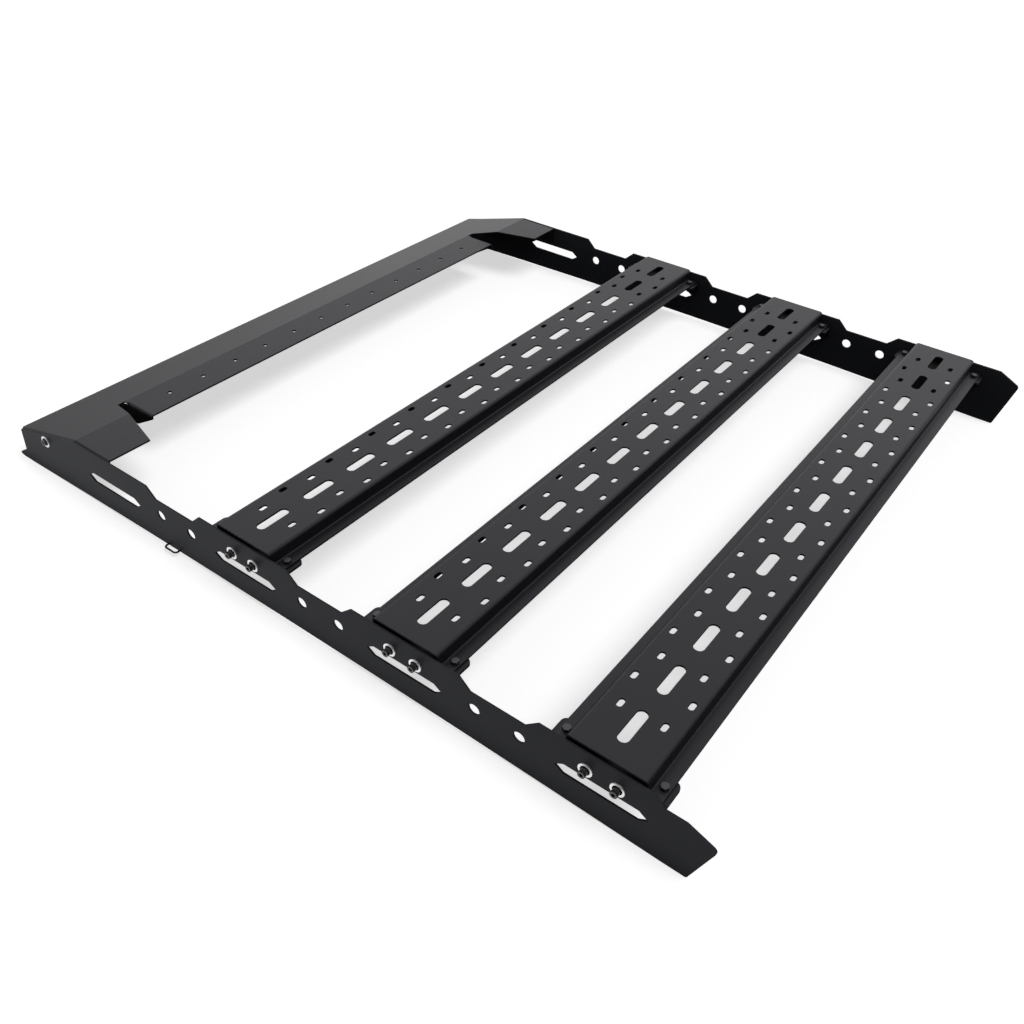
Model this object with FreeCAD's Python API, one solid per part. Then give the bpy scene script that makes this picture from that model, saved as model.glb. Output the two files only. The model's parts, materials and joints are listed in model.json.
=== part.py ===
import FreeCAD, Part
import math
import os

# Low cargo rack of folded sheet: two arched side plates, a front wind fairing with wings,
# three perforated planks of hat section, and angle brackets that carry the planks' ends.
# X runs across the rack, Y from its rear to its front, Z up from the floor it stands on.
# Lengths are measured from the rear feet while the pieces are drawn, and the whole rack is
# moved to the middle of its length when they are written.

os.makedirs("parts", exist_ok=True)
V = FreeCAD.Vector
near_zero = 0.001

# Driving dimensions in millimetres: the whole rack
rack_width = 1210.0
rack_length = 1337.0
plate_top = 107.0
plate_sheet = 3.0
plank_count = 3

# Side plate outline
rear_overhang = 122.0
step_drop = 17.5
step_run = 19.0
dip_length = 82.0
arch_rise = 8.5
foot_length = 30.0
rear_rake = 22.0
rear_tip_height = 88.0
rear_shoulder = 17.0
rear_tip_radius = 7.0
heel_radius = 4.0
crease_ahead = 91.5
ramp_run = 162.0
ramp_drop = 45.0
front_lean = 3.0
toe_top = 20.0
toe_reach = 27.0
toe_tip_height = 3.0
toe_radius = 2.5

# The left plate's tail is cut lower than the right one's
left_tail_drop = 15.5
left_rear_rake = 27.0
left_rear_shoulder = 13.5
tail_step_at = 41.0
tail_step_run = 14.0

# Holes in the side plates
slot_length = 129.0
slot_height = 17.5
slot_point = 13.0
slot_level = 55.7
side_hole_diameter = 17.5
side_hole_spacing = 69.0
side_hole_level = 62.5

# Front fairing
fairing_sheet = 3.0
fairing_bend = 2.0
fairing_side_gap = 0.6
fairing_lead = 4.0
fairing_proud = 2.5
side_flange_depth = 32.0
wing_length = 88.0
wing_width = 81.0
flange_fold_ahead = 60.0
flange_depth = 71.5
flange_end_inset = 138.0
relief_width = 14.0
front_lip_depth = 22.0
flange_hole_count = 12
flange_hole_margin = 67.0
flange_hole_diameter = 8.0
flange_hole_setback = 34.0
fairing_bolt_ahead = 86.0
fairing_bolt_level = 70.0
fairing_bolt_diameter = 7.0
end_tab_depth = 35.0
end_tab_lean = 46.0
end_tab_ahead = 30.0
end_tab_relief = 8.0

# Planks
panel_width = 110.0
panel_height = 23.5
panel_sheet = 3.0
panel_bend = 2.5
panel_end_gap = 2.3
ledge_width = 19.0
ledge_bolt_inset = 22.0
ledge_bolt_edge = 8.0
ledge_bolt_diameter = 6.6
long_slot_count = 13
long_slot_margin = 56.7
long_slot_length = 56.5
long_slot_width = 15.5
short_slot_count = 12
short_slot_margin = 65.2
short_slot_far_margin = 78.2
short_slot_length = 14.5
short_slot_width = 8.0
inner_row_offset = 30.0
outer_row_offset = 40.0

# End brackets
bracket_sheet = 4.0
bracket_bend = 2.5
bracket_reach = 40.0
bracket_width = 161.0
bracket_corner = 9.0
bracket_leg_width = 155.0
bracket_leg_drop = 25.0
plate_bolt_spacing = 43.5
plate_bolt_drop = 11.0
plate_bolt_diameter = 7.0

# Lashing eyes on the side plates
eye_rod = 3.0
eye_span = 29.0
eye_reach = 10.0
eye_lift = 0.5
eye_ahead = 18.5

# Places worked out from the driving dimensions
inner_face = rack_width / 2 - plate_sheet
seat_level = plate_top - step_drop
panel_top = seat_level + panel_height
ledge_level = seat_level + panel_sheet
front_y = rack_length - left_rear_rake - front_lean - toe_reach
crease_y = front_y - ramp_run
station_pitch = (crease_y - crease_ahead - rear_overhang) / plank_count
stations = [rear_overhang + station_pitch * k for k in range(plank_count + 1)]
dips = [station + station_pitch / 2 for station in stations[:plank_count]]
foot_end = front_y + front_lean + toe_reach / 2
plate_bolt_level = seat_level - plate_bolt_drop
panel_length = 2 * (inner_face - panel_end_gap)


def face_of(points):
    """Flat face inside a closed chain of points."""
    return Part.Face(Part.makePolygon(points + points[:1]))


def box(x_range, y_range, z_range):
    """Block between pairs of low and high coordinates."""
    size = [high - low for low, high in (x_range, y_range, z_range)]
    return Part.makeBox(*size, V(x_range[0], y_range[0], z_range[0]))


def cylinder_x(diameter, y, z):
    """Drill across the whole rack at one place in its side view."""
    return Part.makeCylinder(diameter / 2, 2 * rack_width, V(-rack_width, y, z), V(1, 0, 0))


def cylinder_z(diameter, x, y):
    """Drill straight down at one place in the plan view."""
    return Part.makeCylinder(diameter / 2, 4 * plate_top, V(x, y, -plate_top), V(0, 0, 1))


def obround(length, width, x, y):
    """Upright cutter for a round-ended slot that runs along X."""
    half = (length - width) / 2
    radius = width / 2
    lower = [V(x - half, y - radius, 0), V(x + half, y - radius, 0)]
    upper = [V(x + half, y + radius, 0), V(x - half, y + radius, 0)]
    edges = [
        Part.makeLine(*lower),
        Part.Arc(lower[1], V(x + half + radius, y, 0), upper[0]).toShape(),
        Part.makeLine(*upper),
        Part.Arc(upper[1], V(x - half - radius, y, 0), lower[0]).toShape(),
    ]
    return Part.Face(Part.Wire(edges)).extrude(V(0, 0, 2 * panel_top))


def rounded_chain(points, radii):
    """Lines along flat points, with an arc of the given radius at each inner point."""
    edges = []
    start = points[0]
    for before, corner, after, radius in zip(points, points[1:], points[2:], radii):
        back = (before - corner).normalize()
        ahead = (after - corner).normalize()
        half_angle = back.getAngle(ahead) / 2
        reach = radius / math.tan(half_angle)
        middle = (back + ahead).normalize()
        centre = corner + middle * (radius / math.sin(half_angle))
        entry = corner + back * reach
        leave = corner + ahead * reach
        edges.append(Part.makeLine(start, entry))
        edges.append(Part.Arc(entry, centre - middle * radius, leave).toShape())
        start = leave
    edges.append(Part.makeLine(start, points[-1]))
    return edges


def folded_sheet(path, thickness, bend):
    """Section of a folded sheet: its outer face follows the path, and it lies left of it.

    The path holds points of the Y, Z plane. The bend is the radius inside each fold.
    """
    points = [V(0, y, z) for y, z in path]
    runs = [(after - before).normalize() for before, after in zip(points, points[1:])]
    sides = [V(0, -run.z, run.y) for run in runs]
    inner = [points[0] + sides[0] * thickness]
    outer_radii = []
    inner_radii = []
    for corner, first, second, run in zip(points[1:-1], sides, sides[1:], runs):
        inner.append(corner + (first + second) * (thickness / (1 + first.dot(second))))
        turns_left = run.dot(second) < 0
        outer_radii.append(bend + thickness if turns_left else bend)
        inner_radii.append(bend if turns_left else bend + thickness)
    inner.append(points[-1] + sides[-1] * thickness)
    there = rounded_chain(points, outer_radii)
    back = rounded_chain(inner[::-1], inner_radii[::-1])
    caps = [Part.makeLine(points[-1], inner[-1]), Part.makeLine(inner[0], points[0])]
    return Part.Face(Part.Wire(there + caps[:1] + back + caps[1:]))


def across(face, x_low, x_high):
    """Solid made by carrying a Y, Z section from one X to another."""
    placed = face.copy()
    placed.translate(V(x_low, 0, 0))
    return placed.extrude(V(x_high - x_low, 0, 0))


def mirrored(shape):
    """The same shape on the other side of the rack's middle."""
    return shape.mirror(V(0, 0, 0), V(1, 0, 0))


def lies_on(edge, wire):
    """Whether the edge's ends and middle all lie on the wire."""
    first, last = edge.ParameterRange
    marks = [edge.valueAt(first + (last - first) * share) for share in (0, 0.5, 1)]
    return all(Part.Vertex(mark).distToShape(wire)[0] < near_zero for mark in marks)


def plate_outline(rake, shoulder, tail_drop):
    """Side view of a side plate: the tail, the dips along the top, the nose, the toe and the arch."""
    tail_scale = (plate_top - tail_drop) / plate_top
    tail = [V(0, foot_length, 0), V(0, 0, 0), V(0, -rake, rear_tip_height * tail_scale)]
    tail.append(V(0, shoulder, plate_top - tail_drop))
    top = []
    if tail_drop:
        top += [V(0, tail_step_at, plate_top - tail_drop), V(0, tail_step_at + tail_step_run, plate_top)]
    for dip in dips:
        half = dip_length / 2
        top += [V(0, dip - half - step_run, plate_top), V(0, dip - half, seat_level)]
        top += [V(0, dip + half, seat_level), V(0, dip + half + step_run, plate_top)]
    nose = [V(0, crease_y, plate_top), V(0, front_y, plate_top - ramp_drop)]
    nose.append(V(0, front_y + front_lean, toe_top))
    toe = [nose[-1], V(0, front_y + front_lean + toe_reach, toe_tip_height), V(0, foot_end, 0)]
    front_foot = V(0, foot_end - foot_length, 0)
    crown = V(0, (tail[0].y + front_foot.y) / 2, arch_rise)
    chain = rounded_chain(tail, [heel_radius, rear_tip_radius])
    upper = tail[-1:] + top + nose
    chain += [Part.makeLine(first, second) for first, second in zip(upper, upper[1:])]
    chain += rounded_chain(toe, [toe_radius])
    chain.append(Part.makeLine(toe[-1], front_foot))
    chain.append(Part.Arc(front_foot, crown, tail[0]).toShape())
    return Part.Face(Part.Wire(chain))


def pointed_slot(station):
    """Cutter for the long slot with pointed ends below a station."""
    half = slot_length / 2
    flat = half - slot_point
    rise = slot_height / 2
    corners = [(-half, 0), (-flat, -rise), (flat, -rise), (half, 0), (flat, rise), (-flat, rise)]
    section = face_of([V(0, station + y, slot_level + z) for y, z in corners])
    return across(section, -rack_width, rack_width)


def side_plates():
    """Both side plates, cut together so that their holes line up."""
    left_outline = plate_outline(left_rear_rake, left_rear_shoulder, left_tail_drop)
    left = across(left_outline, -rack_width / 2, -inner_face)
    right = across(plate_outline(rear_rake, rear_shoulder, 0), inner_face, rack_width / 2)
    cutters = [pointed_slot(station) for station in stations]
    for dip in dips:
        for offset in (-side_hole_spacing / 2, side_hole_spacing / 2):
            cutters.append(cylinder_x(side_hole_diameter, dip + offset, side_hole_level))
    for station in stations[:plank_count]:
        for offset in (-plate_bolt_spacing / 2, plate_bolt_spacing / 2):
            cutters.append(cylinder_x(plate_bolt_diameter, station + offset, plate_bolt_level))
    cutters.append(cylinder_x(fairing_bolt_diameter, crease_y + fairing_bolt_ahead, fairing_bolt_level))
    return left.cut(cutters), right.cut(cutters)


def end_tab(flange_end, rear, fold_y, level):
    """Down-turned tab at the right end of the fairing's flange, with a slanted rear edge."""
    bend_end = fold_y - end_tab_relief
    below = level - fairing_bend - fairing_sheet
    leg_end = below - fairing_sheet
    path = [(0, leg_end), (0, level), (-2 * (level - below), level)]
    section = folded_sheet(path, fairing_sheet, fairing_bend)
    # the section is drawn in the Y, Z plane and turned so that it runs along Y
    corner = across(section, -bend_end, -rear)
    corner.rotate(V(0, 0, 0), V(0, 0, 1), -90)
    corner.translate(V(flange_end, 0, 0))
    low = level - end_tab_depth
    tip = fold_y + end_tab_ahead
    under_ramp = level - end_tab_ahead * ramp_drop / ramp_run - 2 * fairing_sheet
    outline = [(rear, leg_end), (rear + end_tab_lean, low), (tip, low), (tip, under_ramp)]
    outline += [(bend_end, below), (rear, below)]
    leaf = across(face_of([V(0, y, z) for y, z in outline]), flange_end - fairing_sheet, flange_end)
    return corner.fuse(leaf)


def front_fairing():
    """Fairing of one folded sheet: ramp, front lip, two wings, and a holed flange between the wings."""
    half_width = inner_face - fairing_side_gap
    wing_rear = crease_y - wing_length
    slope = (ramp_drop - fairing_proud) / ramp_run
    fold_y = crease_y + flange_fold_ahead
    fold_z = plate_top - flange_fold_ahead * slope
    flange_rear = fold_y - flange_depth
    leading_y = front_y + fairing_lead
    leading = (leading_y, plate_top - (leading_y - crease_y) * slope)
    lip = (leading_y, leading[1] - front_lip_depth)
    wing_path = [lip, leading, (crease_y, plate_top), (wing_rear, plate_top)]
    flange_path = [lip, leading, (fold_y, fold_z), (flange_rear, fold_z)]
    wings = across(folded_sheet(wing_path, fairing_sheet, fairing_bend), -half_width, half_width)
    flange_end = rack_width / 2 - flange_end_inset
    middle = across(folded_sheet(flange_path, fairing_sheet, fairing_bend), -flange_end, flange_end)
    # plan window between the wings, which narrows from their rear ends to the relief notches
    wing_edge = rack_width / 2 - wing_width
    notch = flange_end + relief_width
    behind = wing_rear - wing_length
    spread = (wing_edge - notch) * (fold_y - behind) / (fold_y - wing_rear)
    window = [V(-notch - spread, behind, 0), V(notch + spread, behind, 0), V(notch, fold_y, 0)]
    window.append(V(-notch, fold_y, 0))
    sheet = wings.cut(face_of(window).extrude(V(0, 0, 2 * plate_top)))
    # tabs at the flange's ends, in place of its square ends
    tab = end_tab(flange_end, flange_rear, fold_y, fold_z)
    room_start = flange_end - 2 * (fairing_bend + fairing_sheet)
    room_z = (fold_z - 2 * fairing_sheet, fold_z + fairing_sheet)
    room = box((room_start, rack_width), (flange_rear - fairing_sheet, fold_y - end_tab_relief), room_z)
    middle = middle.cut([room, mirrored(room)]).fuse([tab, mirrored(tab)])
    sheet = sheet.fuse(middle)
    # side flanges against the plates' inner faces, below the wings and the ramp
    top_line = rounded_chain([V(0, y, z) for y, z in wing_path], [fairing_bend + fairing_sheet] * 2)
    drop = V(0, 0, -side_flange_depth)
    low_line = [V(0, *wing_path[-1]), V(0, *wing_path[-1]) + drop, V(0, *wing_path[-2]) + drop, V(0, *lip)]
    low_edges = [Part.makeLine(first, second) for first, second in zip(low_line, low_line[1:])]
    flange = Part.Face(Part.Wire(top_line + low_edges))
    for side in (-1, 1):
        sheet = sheet.fuse(across(flange, side * half_width, side * (half_width - fairing_sheet)))
    sheet = sheet.removeSplitter()
    rounds = []
    for side in (-1, 1):
        rim = Part.Wire(top_line[2:])
        rim.translate(V(side * half_width, 0, 0))
        rounds += [edge for edge in sheet.Edges if lies_on(edge, rim)]
    sheet = sheet.makeFillet(fairing_bend + fairing_sheet / 2, rounds)
    cutters = [cylinder_x(fairing_bolt_diameter, crease_y + fairing_bolt_ahead, fairing_bolt_level)]
    for x in spaced(flange_end - flange_hole_margin, flange_end - flange_hole_margin, flange_hole_count):
        cutters.append(cylinder_z(flange_hole_diameter, x, fold_y - flange_hole_setback))
    return sheet.cut(cutters)


def spaced(left, right, count):
    """Evenly spaced X places from one on the left of the middle to one on its right."""
    return [-left + (left + right) * index / (count - 1) for index in range(count)]


def plank(station, facing):
    """Perforated plank of hat section with a ledge along each side. Facing -1 turns it end for end."""
    half_length = panel_length / 2
    half_width = panel_width / 2
    edge = half_width + ledge_width
    path = [(edge, ledge_level), (half_width, ledge_level), (half_width, panel_top)]
    path += [(-y, z) for y, z in path[::-1]]
    hat = across(folded_sheet(path, panel_sheet, panel_bend), -half_length, half_length)
    cutters = []
    for x in spaced(half_length - long_slot_margin, half_length - long_slot_margin, long_slot_count):
        cutters.append(obround(long_slot_length, long_slot_width, x, 0))
    ends = (half_length - short_slot_margin, half_length - short_slot_far_margin)
    inner_places = spaced(*ends, short_slot_count)
    outer_places = [(first + second) / 2 for first, second in zip(inner_places, inner_places[1:])]
    for places, offset in ((inner_places, inner_row_offset), (outer_places, outer_row_offset)):
        for x in places:
            for row in (-offset, offset):
                cutters.append(obround(short_slot_length, short_slot_width, facing * x, row))
    hat = hat.cut(cutters)
    hat.translate(V(0, station, 0))
    return hat.cut(ledge_bolt_holes(station))


def ledge_bolt_holes(station):
    """Drills for the four upright bolts that hold a plank's ledges on its brackets."""
    offset = panel_width / 2 + ledge_width - ledge_bolt_edge
    reach = inner_face - ledge_bolt_inset
    places = [(x, station + y) for x in (-reach, reach) for y in (-offset, offset)]
    return [cylinder_z(ledge_bolt_diameter, x, y) for x, y in places]


def end_bracket(station, side):
    """Angle bracket under one end of a plank: a wide rounded seat and a narrower bolted leg."""
    # the section is drawn in the Y, Z plane and turned so that it runs along Y
    low = seat_level - bracket_leg_drop
    path = [(0, low), (0, seat_level), (-bracket_reach, seat_level)]
    section = folded_sheet(path, bracket_sheet, bracket_bend)
    half = bracket_width / 2
    angle = across(section, -half, half)
    spare = bracket_width
    for end in (-1, 1):
        ends = sorted((end * bracket_leg_width / 2, end * spare))
        angle = angle.cut(box(ends, (-spare, spare), (low - spare, seat_level - bracket_sheet)))
    plan = [V(-half, spare, 0), V(-half, -bracket_reach, 0), V(half, -bracket_reach, 0), V(half, spare, 0)]
    rim = rounded_chain(plan, [bracket_corner] * 2) + [Part.makeLine(plan[-1], plan[0])]
    angle = angle.common(Part.Face(Part.Wire(rim)).extrude(V(0, 0, 2 * plate_top)))
    angle.rotate(V(0, 0, 0), V(0, 0, 1), -90 * side)
    angle.translate(V(side * inner_face, station, 0))
    cutters = ledge_bolt_holes(station)
    for offset in (-plate_bolt_spacing / 2, plate_bolt_spacing / 2):
        cutters.append(cylinder_x(plate_bolt_diameter, station + offset, plate_bolt_level))
    return angle.cut(cutters)


def lashing_eye(side):
    """Bent rod eye that stands out level from a side plate, just above its bottom edge."""
    y = dips[-1] + eye_ahead
    span = foot_end - 2 * foot_length
    from_crown = (y - foot_end / 2) / (span / 2)
    z = arch_rise * (1 - from_crown ** 2) + eye_rod / 2 + eye_lift
    wall = rack_width / 2
    tip = wall + eye_reach - eye_rod / 2
    half = (eye_span - eye_rod) / 2
    points = [V(wall, y - half, z), V(tip, y - half, z), V(tip, y + half, z), V(wall, y + half, z)]
    route = Part.Wire(rounded_chain(points, [eye_reach / 2, eye_reach / 2]))
    start = Part.Wire(Part.makeCircle(eye_rod / 2, points[0], V(1, 0, 0)))
    eye = route.makePipeShell([start], True, True)
    if side < 0:
        eye = mirrored(eye)
    return eye


left_plate, right_plate = side_plates()
pieces = {"left_side_plate": left_plate, "right_side_plate": right_plate}
pieces["front_fairing"] = front_fairing()
plank_names = ["rear_plank", "middle_plank", "front_plank"]
plank_facings = [-1, 1, 1]
for name, facing, station in zip(plank_names, plank_facings, stations):
    pieces[name] = plank(station, facing)
    pieces[name + "_left_bracket"] = end_bracket(station, -1)
    pieces[name + "_right_bracket"] = end_bracket(station, 1)
pieces["left_lashing_eye"] = lashing_eye(-1)
pieces["right_lashing_eye"] = lashing_eye(1)

middle_y = (left_plate.BoundBox.YMin + left_plate.BoundBox.YMax) / 2
for node, shape in pieces.items():
    shape.translate(V(0, -middle_y, 0))
    shape.exportStep("parts/" + node + ".step")
    print(node, len(shape.Solids), "solid", round(shape.Volume / 1000, 1), "cm3", shape.isValid())
print("middle of the length", round(middle_y, 2), "length", round(left_plate.BoundBox.YLength, 1))
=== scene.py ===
# %% [markdown]
# # A low cargo rack in black powder coat
#
# The rack is folded and laser-cut sheet: two arched side plates, a sloped front fairing and three
# slotted planks on angle brackets. Its solids are already made and packed, so this lesson does what
# is left: it dresses them in a believable coating, bolts them together, and sets up the lamp and
# camera for a photograph of the result.

import json
import math

import bpy
from mathutils import Matrix, Vector


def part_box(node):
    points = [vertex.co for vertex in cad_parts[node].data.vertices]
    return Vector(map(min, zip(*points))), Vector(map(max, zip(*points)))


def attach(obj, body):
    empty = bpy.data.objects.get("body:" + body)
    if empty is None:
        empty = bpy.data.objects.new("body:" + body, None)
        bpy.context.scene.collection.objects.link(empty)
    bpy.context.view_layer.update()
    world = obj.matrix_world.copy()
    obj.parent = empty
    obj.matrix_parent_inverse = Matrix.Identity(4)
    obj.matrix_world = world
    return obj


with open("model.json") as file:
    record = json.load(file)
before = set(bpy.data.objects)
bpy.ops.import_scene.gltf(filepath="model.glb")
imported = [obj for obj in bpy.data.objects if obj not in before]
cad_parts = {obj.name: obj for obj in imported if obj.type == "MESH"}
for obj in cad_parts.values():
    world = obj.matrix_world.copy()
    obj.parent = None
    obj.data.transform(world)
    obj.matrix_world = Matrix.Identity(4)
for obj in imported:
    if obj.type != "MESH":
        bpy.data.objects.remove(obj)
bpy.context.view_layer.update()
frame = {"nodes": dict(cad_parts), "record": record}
MM = 0.001

# %% [markdown]
# ## Two small helpers
#
# Colours are easiest to read as the hex values of a paint card, but Blender's sockets want linear
# light. One function does that sum. A second one adds a shader or geometry node, gives it its
# settings and joins its inputs, so that a material reads as a list of what it is made of.


# %% Helpers for colours and nodes
def linear(code):
    """Linear red, green, blue and alpha of an sRGB hex colour."""
    channels = [int(code[place:place + 2], 16) / 255 for place in (1, 3, 5)]
    curved = [c / 12.92 if c <= 0.04045 else ((c + 0.055) / 1.055) ** 2.4 for c in channels]
    return (*curved, 1.0)


def add(tree, kind, settings=None, **inputs):
    """Add a node. A socket or a node's first output is linked as an input, and any other value is set.

    An input is named as on the node, with _ for a space, or by its number as _0, _1 and so on.
    """
    node = tree.nodes.new(kind)
    for name, value in (settings or {}).items():
        setattr(node, name, value)
    for name, value in inputs.items():
        key = int(name[1:]) if name[0] == "_" else name.replace("_", " ")
        if isinstance(value, bpy.types.Node):
            tree.links.new(value.outputs[0], node.inputs[key])
        elif isinstance(value, bpy.types.NodeSocket):
            tree.links.new(value, node.inputs[key])
        else:
            node.inputs[key].default_value = value
    return node


print("mid grey in linear light:", [round(value, 3) for value in linear("#808080")])

# %% [markdown]
# ## The powder coat
#
# Powder coat is dry paint that is blown on and melted in an oven. It flows into a skin about a tenth
# of a millimetre thick, with a fine grain that breaks up reflections, so black sheet looks dark grey
# and soft rather than glossy. A flat colour would look like plastic. Here a fine grain tilts the
# surface and varies its roughness, and a much broader cloud shifts the colour a little, as a sprayed
# skin does.


# %% Powder coat for the sheet metal
def powder_coat(name, colour, pale, roughness, shine):
    """Melted powder on steel sheet: a fine grain that scatters light, over a faint cloud in tone.

    A real grain is about half a millimetre. It is drawn coarser here so that it shows at all.
    """
    grain_mm = 1.6
    grain_depth_mm = 0.06
    grain_strength = 0.25
    cloud_mm = 140
    roughness_spread = 0.05
    cool_white = "#f4f4ff"
    material = bpy.data.materials.new(name)
    material.use_nodes = True
    tree = material.node_tree
    shader = tree.nodes["Principled BSDF"]
    place = add(tree, "ShaderNodeTexCoord").outputs["Object"]
    grain = add(tree, "ShaderNodeTexNoise", Vector=place, Scale=1 / (grain_mm * MM), Detail=3.0)
    cloud = add(tree, "ShaderNodeTexNoise", Vector=place, Scale=1 / (cloud_mm * MM), Detail=2.0)
    tone = add(tree, "ShaderNodeMix", {"data_type": "RGBA"}, Factor=cloud.outputs["Fac"])
    tone.inputs["A"].default_value = linear(colour)
    tone.inputs["B"].default_value = linear(pale)
    sheen = add(tree, "ShaderNodeMapRange", Value=grain.outputs["Fac"], To_Min=roughness - roughness_spread,
                To_Max=roughness + roughness_spread)
    bump = add(tree, "ShaderNodeBump", Strength=grain_strength, Distance=grain_depth_mm * MM,
               Height=grain.outputs["Fac"])
    tree.links.new(tone.outputs["Result"], shader.inputs["Base Color"])
    tree.links.new(sheen.outputs["Result"], shader.inputs["Roughness"])
    tree.links.new(bump.outputs["Normal"], shader.inputs["Normal"])
    shader.inputs["Specular IOR Level"].default_value = shine
    shader.inputs["Specular Tint"].default_value = linear(cool_white)
    return material


finishes = {
    # the side plates wear the same black powder as the planks; their lighter, duller copy is painted light,
    # standing in for light their upright faces do not get
    "side_plate_coat": powder_coat("lightened_plate_powder_coat", "#2d2e33", "#313237", 0.46, 0.09),
    "fairing_coat": powder_coat("fairing_powder_coat", "#101012", "#131315", 0.46, 0.44),
    "plank_coat": powder_coat("plank_powder_coat", "#101012", "#131315", 0.46, 0.44),
    "bracket_coat": powder_coat("bracket_powder_coat", "#0e0e10", "#111113", 0.45, 0.35),
    "eye_coat": powder_coat("eye_powder_coat", "#0f0f10", "#121213", 0.4, 0.3),
}
slot_of_node = {part["node"]: part["material_slot"] for part in frame["record"]["subparts"]}
for node, piece in frame["nodes"].items():
    piece.data.materials.clear()
    piece.data.materials.append(finishes[slot_of_node[node]])
print("coated nodes:", len(frame["nodes"]))

# %% [markdown]
# ## Where the bolts go
#
# Every plank sits on a bracket at each end. Two bolts hold a bracket to its side plate, and two more
# hold the plank's ledges on it. One bolt on each side holds the fairing. Their places are measured
# from the boxes of the solids, so the bolts would follow if the rack were made wider or longer. The
# few offsets are those of the holes that the solids already have.

# %% Places of the bolts
plank_sheet = 3 * MM
bracket_sheet = 4 * MM
fairing_sheet = 3 * MM
plate_bolt_offset = 21.75 * MM
plate_bolt_drop = 11 * MM
ledge_bolt_offset = 66 * MM
ledge_bolt_inset = 22 * MM
fairing_bolt_back = 80 * MM
fairing_bolt_level = 70 * MM
up = Vector((0, 0, 1))
plank_names = [node for node in frame["nodes"] if node.endswith("_plank")]
plate_bolts = []
ledge_bolts = []
fairing_bolts = []
for side, sign in (("left", -1), ("right", 1)):
    plate_low, plate_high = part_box(side + "_side_plate")
    wall = plate_high.x if sign > 0 else plate_low.x
    out = Vector((sign, 0, 0))
    for plank in plank_names:
        low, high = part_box(plank + "_" + side + "_bracket")
        middle = (low.y + high.y) / 2
        face = high.x if sign > 0 else low.x
        for offset in (-plate_bolt_offset, plate_bolt_offset):
            place = Vector((wall, middle + offset, high.z - plate_bolt_drop))
            plate_bolts.append((place, out, abs(wall - face) + bracket_sheet))
        for offset in (-ledge_bolt_offset, ledge_bolt_offset):
            place = Vector((face - sign * ledge_bolt_inset, middle + offset, high.z + plank_sheet))
            ledge_bolts.append((place, up, plank_sheet + bracket_sheet))
    low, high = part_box("front_fairing")
    face = high.x if sign > 0 else low.x
    place = Vector((wall, high.y - fairing_bolt_back, fairing_bolt_level))
    fairing_bolts.append((place, out, abs(wall - face) + fairing_sheet))
print("bolts:", len(plate_bolts), "in the plates,", len(ledge_bolts), "in the ledges,",
      len(fairing_bolts), "in the fairing")

# %% [markdown]
# ## A hexagon head, in Geometry Nodes
#
# A hexagon head is a six-sided bar whose end was turned to a cone of 30 degrees, and that is how it
# is made here: the overlap of a six-sided cylinder and a cone. The nuts share it. The tree has two
# named inputs, the width across the flats and the height, so one tree serves every size.


# %% Hexagon head
def geometry_tree(name, inputs):
    """Geometry Nodes tree with named inputs. Returns it with its inputs and its output socket."""
    tree = bpy.data.node_groups.new(name, "GeometryNodeTree")
    for label, kind in inputs:
        tree.interface.new_socket(label, in_out="INPUT", socket_type="NodeSocket" + kind)
    tree.interface.new_socket("Geometry", in_out="OUTPUT", socket_type="NodeSocketGeometry")
    given = tree.nodes.new("NodeGroupInput").outputs
    result = tree.nodes.new("NodeGroupOutput").inputs["Geometry"]
    return tree, given, result


def moved_up(tree, shape, height):
    """The shape, moved along its own Z axis."""
    offset = add(tree, "ShaderNodeCombineXYZ", Z=height)
    return add(tree, "GeometryNodeTransform", Geometry=shape, Translation=offset).outputs["Geometry"]


multiply = {"operation": "MULTIPLY"}
overshoot = 0.2
rim_share = 0.475
hexagon, given, result = geometry_tree("chamfered_hexagon", [("Width", "Float"), ("Height", "Float")])
# the bar stands past the cone's top, and the cone reaches below the bar's foot, so no faces coincide
long = add(hexagon, "ShaderNodeMath", multiply, _0=given["Height"], _1=1 + overshoot)
half_long = add(hexagon, "ShaderNodeMath", multiply, _0=given["Height"], _1=(1 + overshoot) / 2)
below = add(hexagon, "ShaderNodeMath", multiply, _0=given["Height"], _1=-overshoot)
corner = add(hexagon, "ShaderNodeMath", multiply, _0=given["Width"], _1=1 / math.sqrt(3))
rim = add(hexagon, "ShaderNodeMath", multiply, _0=given["Width"], _1=rim_share)
spread = add(hexagon, "ShaderNodeMath", multiply, _0=long, _1=1 / math.tan(math.radians(30)))
foot = add(hexagon, "ShaderNodeMath", {"operation": "ADD"}, _0=rim, _1=spread)
bar = add(hexagon, "GeometryNodeMeshCylinder", Vertices=6, Radius=corner, Depth=long)
cone = add(hexagon, "GeometryNodeMeshCone", Vertices=48, Radius_Top=rim, Radius_Bottom=foot, Depth=long)
overlap = add(hexagon, "GeometryNodeMeshBoolean", {"operation": "INTERSECT"})
hexagon.links.new(moved_up(hexagon, bar, half_long), overlap.inputs["Mesh 2"])
hexagon.links.new(moved_up(hexagon, cone, below), overlap.inputs["Mesh 2"])
hexagon.links.new(overlap.outputs["Mesh"], result)
print("nodes in the hexagon tree:", len(hexagon.nodes))

# %% [markdown]
# ## A cap screw's head, in Geometry Nodes
#
# A cap screw has a round head with a six-sided socket for its key. A short six-sided bar is taken out
# of a cylinder, so the socket has real walls and a real floor, and its darkness is not painted on.

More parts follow.
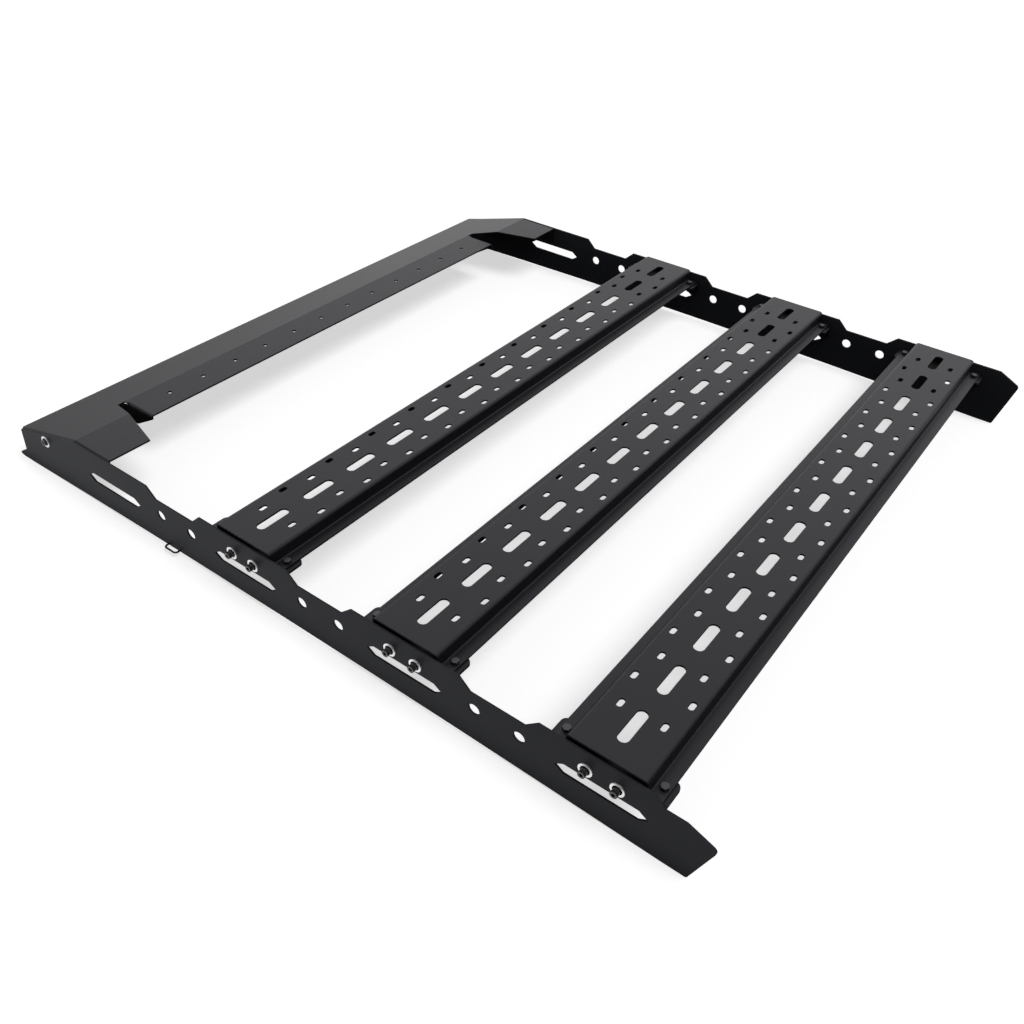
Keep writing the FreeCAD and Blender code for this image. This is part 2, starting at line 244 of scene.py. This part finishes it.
# %% Cap screw head
key_share = 0.29
cap, given, result = geometry_tree("socket_cap", [("Width", "Float"), ("Height", "Float")])
half_width = add(cap, "ShaderNodeMath", multiply, _0=given["Width"], _1=0.5)
half_height = add(cap, "ShaderNodeMath", multiply, _0=given["Height"], _1=0.5)
key_corner = add(cap, "ShaderNodeMath", multiply, _0=given["Width"], _1=key_share)
drum = add(cap, "GeometryNodeMeshCylinder", Vertices=48, Radius=half_width, Depth=given["Height"])
key = add(cap, "GeometryNodeMeshCylinder", Vertices=6, Radius=key_corner, Depth=given["Height"])
hollow = add(cap, "GeometryNodeMeshBoolean", {"operation": "DIFFERENCE"})
cap.links.new(moved_up(cap, drum, half_height), hollow.inputs["Mesh 1"])
cap.links.new(moved_up(cap, key, given["Height"]), hollow.inputs["Mesh 2"])
cap.links.new(hollow.outputs["Mesh"], result)
print("nodes in the cap tree:", len(cap.nodes))

# %% [markdown]
# ## A bolted joint, in Geometry Nodes
#
# The tree takes a cloud of points. Each point knows which way its bolt faces and how thick the
# sheets under it are. The heads stand on the points, and the nuts stand on copies of the points that
# are moved back through the sheets. A seeded random turn about each bolt's own axis keeps the
# hexagons from lining up, as they never do once a spanner has been at them.


# %% Bolt trees
def bolted_joint(name, head_tree):
    """Tree that puts a head, a thread and a nut on each point, with one kind of head."""
    labels = ["Head Width", "Head Height", "Under Head", "Nut Width", "Nut Height", "Thread",
              "Thread Length"]
    thread_set_back = 0.15
    inputs = [("Geometry", "Geometry")] + [(label, "Float") for label in labels]
    tree, given, result = geometry_tree(name, inputs + [("Seed", "Int"), ("Finish", "Material")])
    facing = add(tree, "GeometryNodeInputNamedAttribute", {"data_type": "FLOAT_VECTOR"}, Name="facing")
    grip = add(tree, "GeometryNodeInputNamedAttribute", {"data_type": "FLOAT"}, Name="grip")
    turn = add(tree, "FunctionNodeAlignRotationToVector", {"axis": "Z"}, Vector=facing.outputs["Attribute"])
    chance = add(tree, "FunctionNodeRandomValue", {"data_type": "FLOAT"}, Seed=given["Seed"])
    # the random node has one output for each kind of value, and the second is the one for plain numbers
    angle = add(tree, "ShaderNodeMath", multiply, _0=chance.outputs[1], _1=math.radians(60))
    spin = add(tree, "ShaderNodeCombineXYZ", Z=angle)

    def stood_on(points, shape):
        """Copies of a shape on the points, each facing its own way and turned by chance."""
        copies = add(tree, "GeometryNodeInstanceOnPoints", Points=points, Instance=shape, Rotation=turn)
        spun = add(tree, "GeometryNodeRotateInstances", Instances=copies, Rotation=spin)
        return spun.outputs["Instances"]

    head = add(tree, "GeometryNodeGroup", {"node_tree": head_tree}, Width=given["Head Width"],
               Height=given["Head Height"])
    heads = stood_on(given["Geometry"], moved_up(tree, head, given["Under Head"]))
    back = add(tree, "ShaderNodeMath", multiply, _0=grip.outputs["Attribute"], _1=-1.0)
    behind = add(tree, "ShaderNodeVectorMath", {"operation": "SCALE"}, _0=facing.outputs["Attribute"],
                 Scale=back)
    far_points = add(tree, "GeometryNodeSetPosition", Geometry=given["Geometry"], Offset=behind)
    nut = add(tree, "GeometryNodeGroup", {"node_tree": hexagon}, Width=given["Nut Width"],
              Height=given["Nut Height"])
    flipped = add(tree, "GeometryNodeTransform", Geometry=nut, Rotation=(math.pi, 0, 0))
    # the thread starts inside the sheets and stands out a little behind the nut
    half_thread = add(tree, "ShaderNodeMath", multiply, _0=given["Thread"], _1=0.5)
    set_back = add(tree, "ShaderNodeMath", multiply, _0=given["Thread Length"], _1=-thread_set_back)
    rod = add(tree, "GeometryNodeMeshCylinder", Vertices=24, Radius=half_thread,
              Depth=given["Thread Length"])
    both = add(tree, "GeometryNodeJoinGeometry")
    tree.links.new(flipped.outputs["Geometry"], both.inputs[0])
    tree.links.new(moved_up(tree, rod, set_back), both.inputs[0])
    nuts = stood_on(far_points, both)
    everything = add(tree, "GeometryNodeJoinGeometry")
    tree.links.new(heads, everything.inputs[0])
    tree.links.new(nuts, everything.inputs[0])
    real = add(tree, "GeometryNodeRealizeInstances", Geometry=everything)
    painted = add(tree, "GeometryNodeSetMaterial", Geometry=real, Material=given["Finish"])
    tree.links.new(painted.outputs[0], result)
    return tree


capped = bolted_joint("cap_screw_joint", cap)
bolted = bolted_joint("hexagon_bolt_joint", hexagon)
print("nodes in a bolt tree:", len(bolted.nodes))

# %% [markdown]
# ## Washers, in Geometry Nodes
#
# A washer is a disc with a hole through it, and a spacer is a thicker one. Both stand on the points of
# the plate and fairing bolts and face the same way. They look the same however they are turned, so
# their tree needs no chance.

# %% Washer tree
washer_inputs = [("Geometry", "Geometry"), ("Outer", "Float"), ("Hole", "Float"), ("Thickness", "Float")]
washing, given, result = geometry_tree("washer", washer_inputs + [("Finish", "Material")])
facing = add(washing, "GeometryNodeInputNamedAttribute", {"data_type": "FLOAT_VECTOR"}, Name="facing")
turn = add(washing, "FunctionNodeAlignRotationToVector", {"axis": "Z"}, Vector=facing.outputs["Attribute"])
half_outer = add(washing, "ShaderNodeMath", multiply, _0=given["Outer"], _1=0.5)
half_hole = add(washing, "ShaderNodeMath", multiply, _0=given["Hole"], _1=0.5)
half_thick = add(washing, "ShaderNodeMath", multiply, _0=given["Thickness"], _1=0.5)
# the drill is longer than the disc is thick, so that it comes out on both sides
drill_length = add(washing, "ShaderNodeMath", multiply, _0=given["Thickness"], _1=3.0)
disc = add(washing, "GeometryNodeMeshCylinder", Vertices=48, Radius=half_outer, Depth=given["Thickness"])
drill = add(washing, "GeometryNodeMeshCylinder", Vertices=48, Radius=half_hole, Depth=drill_length)
ring = add(washing, "GeometryNodeMeshBoolean", {"operation": "DIFFERENCE"})
washing.links.new(disc.outputs["Mesh"], ring.inputs["Mesh 1"])
washing.links.new(drill.outputs["Mesh"], ring.inputs["Mesh 2"])
seated = moved_up(washing, ring, half_thick)
copies = add(washing, "GeometryNodeInstanceOnPoints", Points=given["Geometry"], Instance=seated,
             Rotation=turn)
real = add(washing, "GeometryNodeRealizeInstances", Geometry=copies)
painted = add(washing, "GeometryNodeSetMaterial", Geometry=real, Material=given["Finish"])
washing.links.new(painted.outputs[0], result)
print("nodes in the washer tree:", len(washing.nodes))

# %% [markdown]
# ## Black bolts and bright washers
#
# The bolts are black oxide steel, which is a thin stain and keeps some of the metal's shine. The
# washers are bright zinc: bare metal with a soft, slightly uneven polish. Under the heads of the plate
# and fairing bolts, a black spacer covers the middle of the washer, so that only its rim shines. The
# spacer is a part of its own, and its near-black finish with almost no shine is painted shade: it
# stands in for the shade in the hollow under each head.


# %% Finishes of the bolts and washers
def metal(name, colour, roughness, metallic, shine, patch_mm):
    """Bare or stained metal whose polish varies in small patches."""
    roughness_spread = 0.08
    material = bpy.data.materials.new(name)
    material.use_nodes = True
    tree = material.node_tree
    shader = tree.nodes["Principled BSDF"]
    place = add(tree, "ShaderNodeTexCoord").outputs["Object"]
    patch = add(tree, "ShaderNodeTexNoise", Vector=place, Scale=1 / (patch_mm * MM), Detail=2.0)
    sheen = add(tree, "ShaderNodeMapRange", Value=patch.outputs["Fac"], To_Min=roughness - roughness_spread,
                To_Max=roughness + roughness_spread)
    tree.links.new(sheen.outputs["Result"], shader.inputs["Roughness"])
    shader.inputs["Base Color"].default_value = linear(colour)
    shader.inputs["Metallic"].default_value = metallic
    shader.inputs["Specular IOR Level"].default_value = shine
    return material


black_oxide = metal("black_oxide_bolts", "#141416", 0.38, 0.0, 0.9, 3.0)
bright_zinc = metal("bright_zinc_washers", "#f8f8f8", 0.55, 1.0, 0.5, 2.0)
# the spacers' near-black finish with almost no shine is painted shade, the shade in the hollow under each
# head
dull_black = metal("black_spacers_painted_shade", "#060606", 0.8, 0.0, 0.05, 2.0)
print("finishes:", black_oxide.name, bright_zinc.name, dull_black.name)

# %% [markdown]
# ## Grow the fasteners
#
# A modifier runs each tree on its cloud of points. Its inputs are set by their identifiers before
# Blender evaluates it for the first time. The result is then copied into a plain mesh, so that the
# scene needs no modifier.


# %% Bolts and washers as plain meshes
def grown(name, places, tree, settings):
    """Plain mesh made by a tree on a cloud of points, riding with the rack."""
    cloud = bpy.data.meshes.new(name + "_points")
    cloud.from_pydata([place for place, out, thickness in places], [], [])
    facing = cloud.attributes.new("facing", "FLOAT_VECTOR", "POINT")
    facing.data.foreach_set("vector", [value for place, out, thickness in places for value in out])
    grip = cloud.attributes.new("grip", "FLOAT", "POINT")
    grip.data.foreach_set("value", [thickness for place, out, thickness in places])
    holder = bpy.data.objects.new(name, cloud)
    bpy.context.collection.objects.link(holder)
    modifier = holder.modifiers.new("grow", "NODES")
    for socket in tree.interface.items_tree:
        if socket.in_out == "INPUT" and socket.name in settings:
            modifier[socket.identifier] = settings[socket.name]
    modifier.node_group = tree
    ready = holder.evaluated_get(bpy.context.evaluated_depsgraph_get())
    mesh = bpy.data.meshes.new_from_object(ready)
    mesh.name = name
    holder.modifiers.clear()
    holder.data = mesh
    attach(holder, "root")
    print(name, "faces:", len(mesh.polygons))


cap_screw = {"Head Width": 10.5 * MM, "Head Height": 8 * MM, "Under Head": 2 * MM, "Nut Width": 10 * MM,
             "Nut Height": 5 * MM, "Thread": 6 * MM, "Thread Length": 18 * MM, "Seed": 3,
             "Finish": black_oxide}
low_screw = {**cap_screw, "Head Height": 3.5 * MM}
ledge_bolt = {**cap_screw, "Head Width": 10 * MM, "Head Height": 4.5 * MM, "Under Head": 0.0, "Seed": 8}
washer = {"Outer": 20 * MM, "Hole": 6.6 * MM, "Thickness": 1.6 * MM, "Finish": bright_zinc}
spacer = {"Outer": 13.5 * MM, "Hole": 6.6 * MM, "Thickness": 2 * MM, "Finish": dull_black}
grown("plate_bolts", plate_bolts, capped, cap_screw)
grown("fairing_bolts", fairing_bolts, capped, low_screw)
grown("ledge_bolts", ledge_bolts, bolted, ledge_bolt)
grown("plate_washers", plate_bolts + fairing_bolts, washing, washer)
grown("plate_spacers", plate_bolts + fairing_bolts, washing, spacer)

# %% [markdown]
# ## The floor
#
# The rack stands on a white sweep, the usual floor of a catalogue picture. The floor glows a little
# for the camera, so that it reads as white paper without flooding the rack with light, and it still
# takes the soft shadow of a broad lamp overhead. Bounced rays see it as dark grey. For mirrored rays
# it is bright only on both sides of the rack, as if white cards lay there. The side plates and their
# washers catch those cards, and the walls that face the rear stay black.


# %% White floor
def ray_kinds(tree):
    """Two sockets that are one for some rays: direct or see-through ones, and mirrored ones."""
    path = add(tree, "ShaderNodeLightPath")
    direct = add(tree, "ShaderNodeMath", {"operation": "MAXIMUM"}, _0=path.outputs["Is Camera Ray"],
                 _1=path.outputs["Is Transmission Ray"])
    return direct.outputs[0], path.outputs["Is Glossy Ray"]


floor_reach = 20.0
bounced_paper = "#2c2c2c"
seen_paper = "#eeeeee"
seen_glow = 0.60
plate_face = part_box("right_side_plate")[1].x
card_start = plate_face - 10 * MM
card_full = plate_face + 25 * MM
floor_mesh = bpy.data.meshes.new("floor")
corners = [(x * floor_reach, y * floor_reach, 0) for x, y in ((-1, -1), (1, -1), (1, 1), (-1, 1))]
floor_mesh.from_pydata(corners, [], [(0, 1, 2, 3)])
floor = bpy.data.objects.new("floor", floor_mesh)
bpy.context.collection.objects.link(floor)
paper = bpy.data.materials.new("white_paper_sweep")
paper.use_nodes = True
tree = paper.node_tree
shader = tree.nodes["Principled BSDF"]
direct, mirrored = ray_kinds(tree)
paper_tone = add(tree, "ShaderNodeMix", {"data_type": "RGBA"}, Factor=direct)
paper_tone.inputs["A"].default_value = linear(bounced_paper)
paper_tone.inputs["B"].default_value = linear(seen_paper)
tree.links.new(paper_tone.outputs["Result"], shader.inputs["Base Color"])
shader.inputs["Roughness"].default_value = 0.9
shader.inputs["Specular IOR Level"].default_value = 0.0
shader.inputs["Emission Color"].default_value = linear("#ffffff")
place = add(tree, "ShaderNodeTexCoord").outputs["Object"]
across = add(tree, "ShaderNodeSeparateXYZ", Vector=place).outputs["X"]
aside = add(tree, "ShaderNodeMath", {"operation": "ABSOLUTE"}, _0=across)
cards = add(tree, "ShaderNodeMapRange", Value=aside, From_Min=card_start, From_Max=card_full)
card = add(tree, "ShaderNodeMath", multiply, _0=mirrored, _1=cards)
glow = add(tree, "ShaderNodeMath", {"operation": "MULTIPLY_ADD"}, _0=direct, _1=seen_glow, _2=card)
tree.links.new(glow.outputs[0], shader.inputs["Emission Strength"])
floor_mesh.materials.append(paper)
print("white cards start", round(card_start, 4), "m from the middle")

# %% [markdown]
# ## The sky
#
# Powder coat shows mostly what it mirrors, so the sky is shaped too. For mirrored rays it is dim
# towards the rear and the left, and a little brighter low down. The planks then get lighter from
# their near ends to their far ends. Bounced light comes softly from low on all sides, so that upright
# sheets are not lost in black. The camera sees plain white.

# %% Shaped sky
world = bpy.data.worlds.new("studio")
bpy.context.scene.world = world
world.use_nodes = True
tree = world.node_tree
background = tree.nodes["Background"]
background.inputs["Color"].default_value = linear("#ffffff")
direct, mirrored = ray_kinds(tree)
heading = add(tree, "ShaderNodeTexCoord").outputs["Generated"]
sight = add(tree, "ShaderNodeSeparateXYZ", Vector=heading).outputs
# each map turns one side of a ray's heading into a level, and the dome is the product of three levels
rear_rise = add(tree, "ShaderNodeMath", {"operation": "ADD"}, _0=sight["Z"], _1=sight["Y"])
rear = add(tree, "ShaderNodeMapRange", Value=rear_rise, From_Min=-0.4, From_Max=0.15, To_Min=0.08)
height_share = 0.9
left_rise = add(tree, "ShaderNodeMath", {"operation": "MULTIPLY_ADD"}, _0=sight["Z"], _1=height_share,
                _2=sight["X"])
left = add(tree, "ShaderNodeMapRange", Value=left_rise, From_Min=0.4, From_Max=0.8, To_Min=0.6, To_Max=1.2)
high = add(tree, "ShaderNodeMapRange", Value=sight["Z"], From_Min=0.35, From_Max=0.75, To_Min=1.12,
           To_Max=0.75)
sides = add(tree, "ShaderNodeMath", multiply, _0=rear, _1=left)
dome = add(tree, "ShaderNodeMath", multiply, _0=sides, _1=high)
bounced = add(tree, "ShaderNodeMapRange", Value=sight["Z"], From_Max=0.5, To_Min=0.8, To_Max=0.15)
unseen = add(tree, "ShaderNodeMix", {"data_type": "FLOAT"}, _0=mirrored, _2=bounced, _3=dome)
level = add(tree, "ShaderNodeMix", {"data_type": "FLOAT"}, _0=direct, _2=unseen, _3=1.0)
tree.links.new(level.outputs[0], background.inputs["Strength"])
print("nodes in the sky:", len(tree.nodes))

# %% [markdown]
# ## The lamp
#
# One broad lamp, high above the rear of the rack, draws the soft shadow on the floor. A sun lamp with
# a wide angle does that with no hard edge. It is hidden from mirrored rays, so that no bright spot of
# it sits on the coat.

# %% Soft lamp overhead
lamp_aim = Vector((0, 0.55, -1))
lamp = bpy.data.lights.new("overhead_light", "SUN")
lamp.energy = 1.2
lamp.angle = math.radians(30)
overhead = bpy.data.objects.new("overhead_light", lamp)
overhead.matrix_world = lamp_aim.to_track_quat("-Z", "Y").to_matrix().to_4x4()
overhead.visible_glossy = False
bpy.context.collection.objects.link(overhead)
bpy.context.scene.view_settings.view_transform = "Standard"
print("lamp tilt:", round(math.degrees(math.atan2(lamp_aim.y, -lamp_aim.z)), 1), "degrees")

# %% [markdown]
# ## The camera
#
# The picture is taken from beyond the left rear corner, looking down on the rack. The camera's place,
# the point it looks at and its slight roll were worked out from the rack's straight edges, so the
# render lies over the photograph.

# %% Camera at the photograph's angle
camera_place = Vector((-1.2294, -0.8192, 1.0059))
camera_aim = Vector((-0.2492, -0.1267, 0.0500))
camera_roll = math.radians(2.459)
focal_pixels = 978.45
picture_pixels = 1024
lens = bpy.data.cameras.new("camera")
lens.sensor_width = 36.0
lens.lens = focal_pixels / picture_pixels * lens.sensor_width
camera = bpy.data.objects.new("camera", lens)
sight_line = camera_aim - camera_place
level_turn = sight_line.to_track_quat("-Z", "Y").to_matrix().to_4x4()
camera.matrix_world = Matrix.Translation(camera_place) @ level_turn @ Matrix.Rotation(camera_roll, 4, "Z")
bpy.context.collection.objects.link(camera)
bpy.context.scene.camera = camera
print("lens:", round(lens.lens, 2), "mm, looking at a point", round(sight_line.length, 2), "m away")
